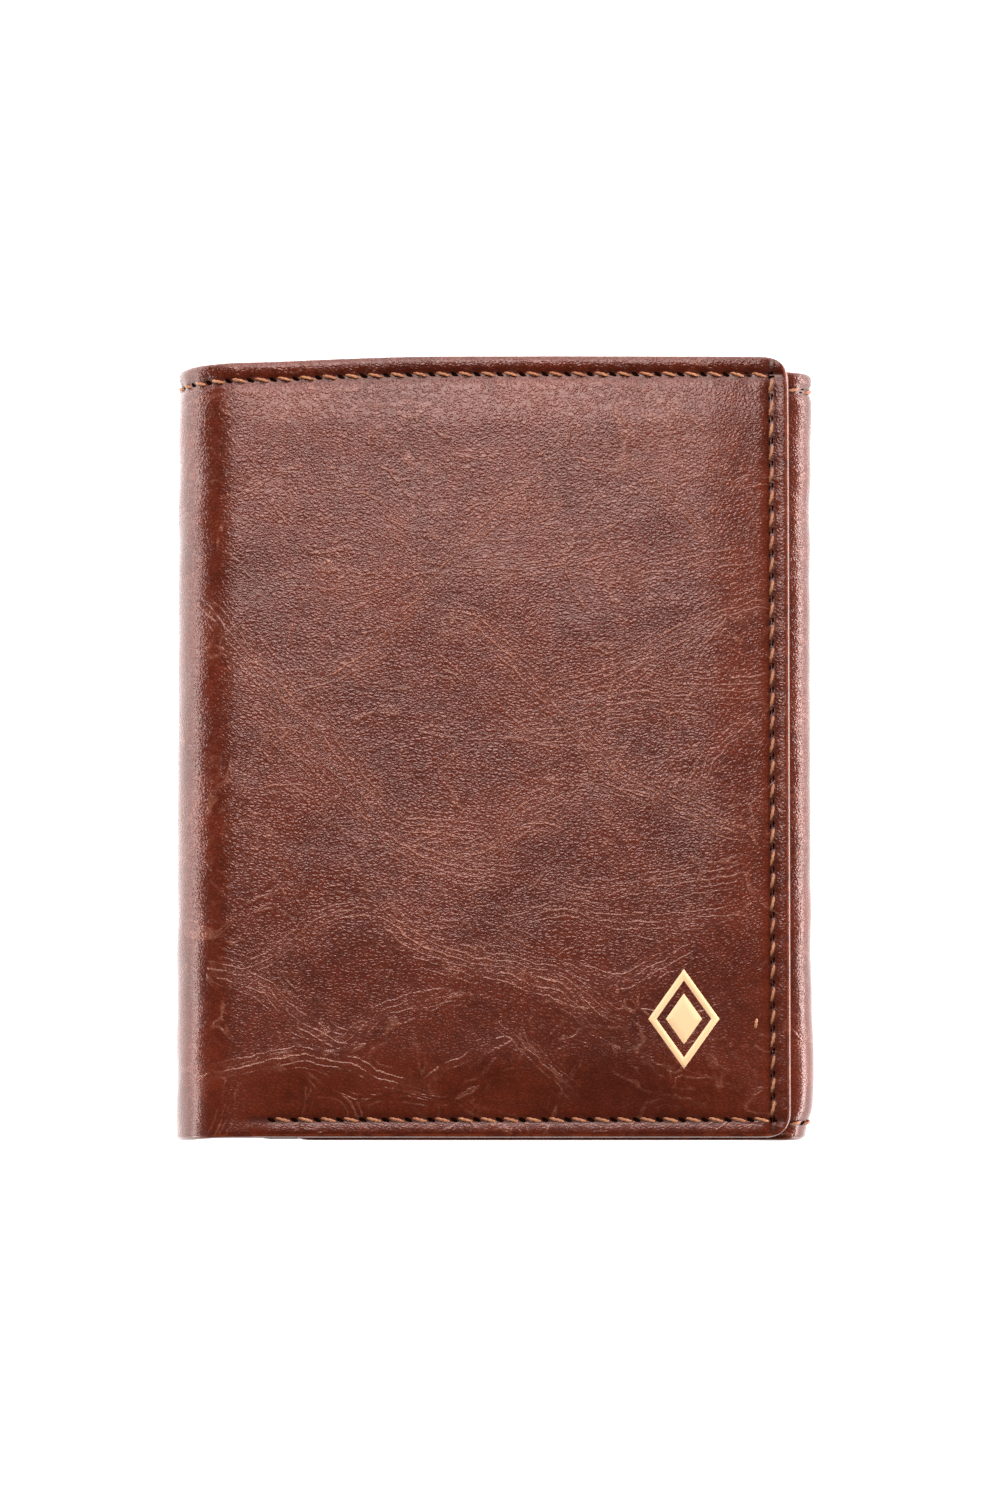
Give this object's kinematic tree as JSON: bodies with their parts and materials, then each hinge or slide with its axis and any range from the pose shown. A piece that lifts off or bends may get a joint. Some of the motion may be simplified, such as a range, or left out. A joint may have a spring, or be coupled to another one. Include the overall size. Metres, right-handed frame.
{
  "type": "trifold wallet",
  "caption": "Trifold leather wallet with two flaps that open on soft folds, stitched edges, a full-length note compartment, card pockets and an identity card window.",
  "frame": {"origin": "middle of the back panel's outer face, in the plane the closed wallet lies on", "axes": "+X across the closed wallet from the outer flap's fold to the inner flap's fold, +Y along the folds towards the open edge of the note compartment, +Z from the back face up to the outer flap's face"},
  "size_m": [0.09, 0.11, 0.0185],
  "materials": {
    "outer_leather": "glossy waxed reddish-brown leather, creased",
    "inner_leather": "satin brown leather",
    "lining_cloth": "plain-woven lining",
    "filler_felt": "soft felt",
    "thread": "waxed tan thread",
    "clear_window": "clear vinyl",
    "foil": "hot-stamped cream foil"
  },
  "bodies": {
    "back_panel": {"back_shell": "outer_leather", "back_lining": "lining_cloth", "back_divider": "inner_leather", "back_upper_pocket": "inner_leather", "back_middle_pocket": "inner_leather", "back_lower_pocket": "inner_leather", "back_top_seam": "thread", "back_bottom_seam": "thread"},
    "left_fold": {"left_fold_shell": "outer_leather", "left_fold_lining": "lining_cloth", "left_fold_divider": "inner_leather", "left_fold_top_seam": "thread"},
    "outer_flap": {"outer_flap_shell": "outer_leather", "outer_flap_filler": "filler_felt", "outer_flap_lining": "lining_cloth", "outer_flap_divider": "inner_leather", "outer_flap_upper_pocket": "inner_leather", "outer_flap_middle_pocket": "inner_leather", "outer_flap_lower_pocket": "inner_leather", "outer_flap_top_seam": "thread", "outer_flap_side_seam": "thread", "outer_flap_bottom_seam": "thread", "outer_flap_mark": "foil"},
    "right_fold": {"right_fold_shell": "outer_leather", "right_fold_lining": "lining_cloth", "right_fold_divider": "inner_leather", "right_fold_top_seam": "thread", "right_fold_bottom_seam": "thread"},
    "inner_flap": {"inner_flap_shell": "outer_leather", "inner_flap_lining": "lining_cloth", "inner_flap_divider": "inner_leather", "inner_flap_card_pocket": "inner_leather", "inner_flap_window": "clear_window", "inner_flap_window_frame": "inner_leather", "inner_flap_top_seam": "thread", "inner_flap_side_seam": "thread", "inner_flap_bottom_seam": "thread"}
  },
  "joints": [
    {"name": "outer_flap_first_bend", "type": "hinge", "parent": "back_panel", "child": "left_fold", "pos_m": [-0.04258, 0, 0.00242], "axis": [0, -1, 0], "range_deg": [0, 90]},
    {"name": "outer_flap_second_bend", "type": "hinge", "parent": "left_fold", "child": "outer_flap", "pos_m": [-0.04258, 0, 0.01608], "axis": [0, -1, 0], "range_deg": [0, 90]},
    {"name": "inner_flap_first_bend", "type": "hinge", "parent": "back_panel", "child": "right_fold", "pos_m": [0.04349, 0, 0.00151], "axis": [0, 1, 0], "range_deg": [0, 90]},
    {"name": "inner_flap_second_bend", "type": "hinge", "parent": "right_fold", "child": "inner_flap", "pos_m": [0.04349, 0, 0.0085], "axis": [0, 1, 0], "range_deg": [0, 90]}
  ],
  "couplings": [
    {"joint": "outer_flap_second_bend", "follows": "outer_flap_first_bend", "ratio": 1},
    {"joint": "inner_flap_first_bend", "follows": "outer_flap_first_bend", "ratio": 0.3},
    {"joint": "inner_flap_second_bend", "follows": "outer_flap_first_bend", "ratio": 0.3}
  ]
}
